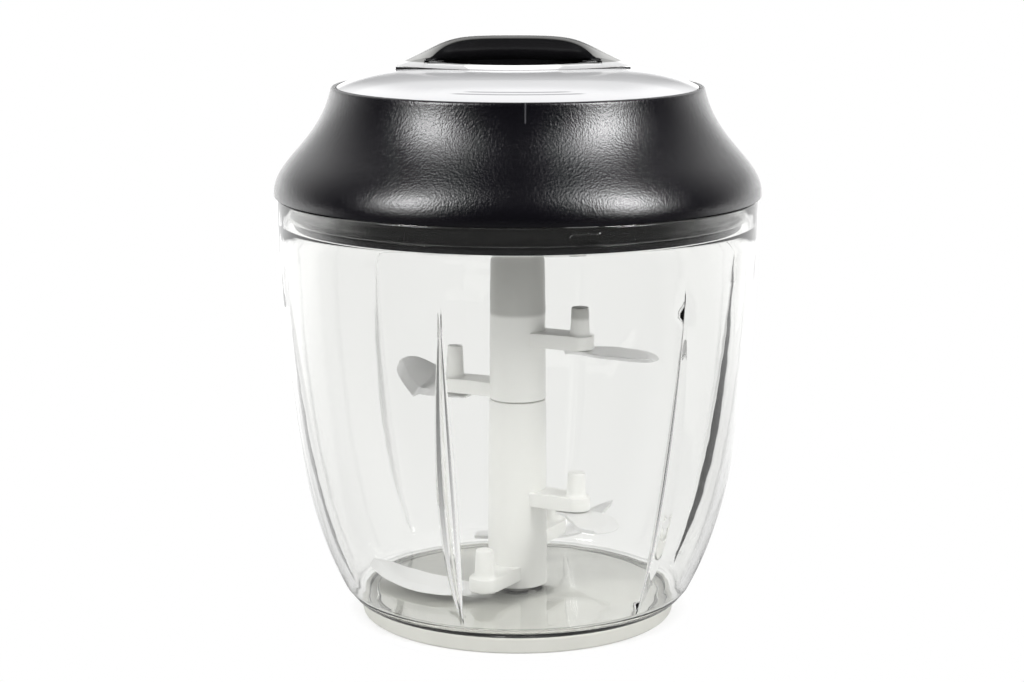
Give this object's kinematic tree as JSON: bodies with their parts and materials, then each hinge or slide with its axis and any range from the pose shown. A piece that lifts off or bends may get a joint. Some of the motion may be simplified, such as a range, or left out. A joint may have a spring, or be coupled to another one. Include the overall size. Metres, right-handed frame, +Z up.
{
  "type": "pull-cord food chopper",
  "caption": "Clear ribbed bowl with a swept-blade carrier under a domed lid, whose docked pull handle draws a cord off a recoil reel to spin the blades.",
  "frame": {"origin": "on the axis of the bowl, on the surface that the chopper stands on", "axes": "+Z up along the axis of the bowl and blades, +X along the length of the handle, -Y to the front of the handle"},
  "size_m": [0.1356, 0.1356, 0.1636],
  "materials": {
    "clear_plastic": "clear moulded plastic, glossy",
    "pad_silicone": "matte pale silicone",
    "white_plastic": "satin white moulded plastic",
    "black_plastic": "fine-grained black moulded plastic",
    "light_grey_plastic": "glossy light grey moulded plastic",
    "grey_plastic": "smooth grey moulded plastic",
    "seal_silicone": "clear, slightly milky silicone",
    "spigot_plastic": "satin dark grey nylon",
    "steel": "polished stainless steel",
    "bronze": "sintered bronze",
    "nylon_cord": "braided nylon cord"
  },
  "bodies": {
    "bowl_body": {"bowl": "clear_plastic", "base_pad": "pad_silicone", "pivot_pin": "steel"},
    "blade_assembly": {"lower_shaft": "white_plastic", "upper_shaft": "white_plastic", "blade_upper_right": "steel", "blade_upper_left": "steel", "blade_lower_right": "steel", "blade_lower_rear": "steel", "blade_lower_left": "steel"},
    "lid": {"lid_shell": "black_plastic", "lid_base": "black_plastic", "sealing_ring": "seal_silicone", "top_cap": "light_grey_plastic", "handle_dock": "black_plastic", "cord_eyelet": "steel", "drive_bush": "bronze", "spring_case": "spigot_plastic", "recoil_spring": "steel", "spool_axle": "steel", "pulley_axle": "steel", "pull_cord": "nylon_cord", "lid_screw_1": "steel", "lid_screw_2": "steel", "lid_screw_3": "steel", "lid_screw_4": "steel", "case_screw_1": "steel", "case_screw_2": "steel", "case_screw_3": "steel", "axle_screw": "steel"},
    "drive": {"drive_spigot": "spigot_plastic", "ratchet_cup": "white_plastic", "spigot_screw": "steel"},
    "spool": {"cord_spool": "white_plastic", "cord_coil": "nylon_cord"},
    "front_pawl": {"pawl_front": "white_plastic"},
    "rear_pawl": {"pawl_rear": "white_plastic"},
    "pulley": {"guide_pulley": "white_plastic"},
    "handle": {"handle_cover": "grey_plastic", "handle_grip": "black_plastic", "handle_plate": "black_plastic", "cord_knot": "nylon_cord", "handle_screw": "steel"}
  },
  "joints": [
    {"name": "lid_lift", "type": "slide", "parent": "bowl_body", "child": "lid", "axis": [0, 0, 1], "range_m": [0, 0.06]},
    {"name": "handle_pull", "type": "slide", "parent": "lid", "child": "handle", "axis": [0, 0, 1], "range_m": [0, 0.32], "stiffness_N_per_m": 35, "springref_m": -0.1, "deforming": ["pull_cord"]},
    {"name": "blade_turn", "type": "hinge", "parent": "bowl_body", "child": "blade_assembly", "pos_m": [0, 0, 0.02], "axis": [0, 0, 1], "range_deg": [0, 1340]},
    {"name": "drive_turn", "type": "hinge", "parent": "lid", "child": "drive", "pos_m": [0, 0, 0.121], "axis": [0, 0, 1], "range_deg": [0, 1340]},
    {"name": "spool_turn", "type": "hinge", "parent": "lid", "child": "spool", "pos_m": [0, 0, 0.125], "axis": [0, 0, 1], "range_deg": [0, 1340]},
    {"name": "pulley_turn", "type": "hinge", "parent": "lid", "child": "pulley", "pos_m": [0.02235, -0.00197, 0.1306], "axis": [0.596, -0.803, 0], "range_deg": [0, 5560]},
    {"name": "front_pawl_swing", "type": "hinge", "parent": "spool", "child": "front_pawl", "pos_m": [0.00647, -0.0089, 0.1226], "axis": [0, 0, 1], "range_deg": [0, 18]},
    {"name": "rear_pawl_swing", "type": "hinge", "parent": "spool", "child": "rear_pawl", "pos_m": [-0.00647, 0.0089, 0.1226], "axis": [0, 0, 1], "range_deg": [0, 18]}
  ],
  "couplings": [
    {"joint": "blade_turn", "follows": "handle_pull", "rad_per_m": 72.727},
    {"joint": "drive_turn", "follows": "handle_pull", "rad_per_m": 72.727},
    {"joint": "spool_turn", "follows": "handle_pull", "rad_per_m": 72.727},
    {"joint": "pulley_turn", "follows": "handle_pull", "rad_per_m": 303.03}
  ]
}
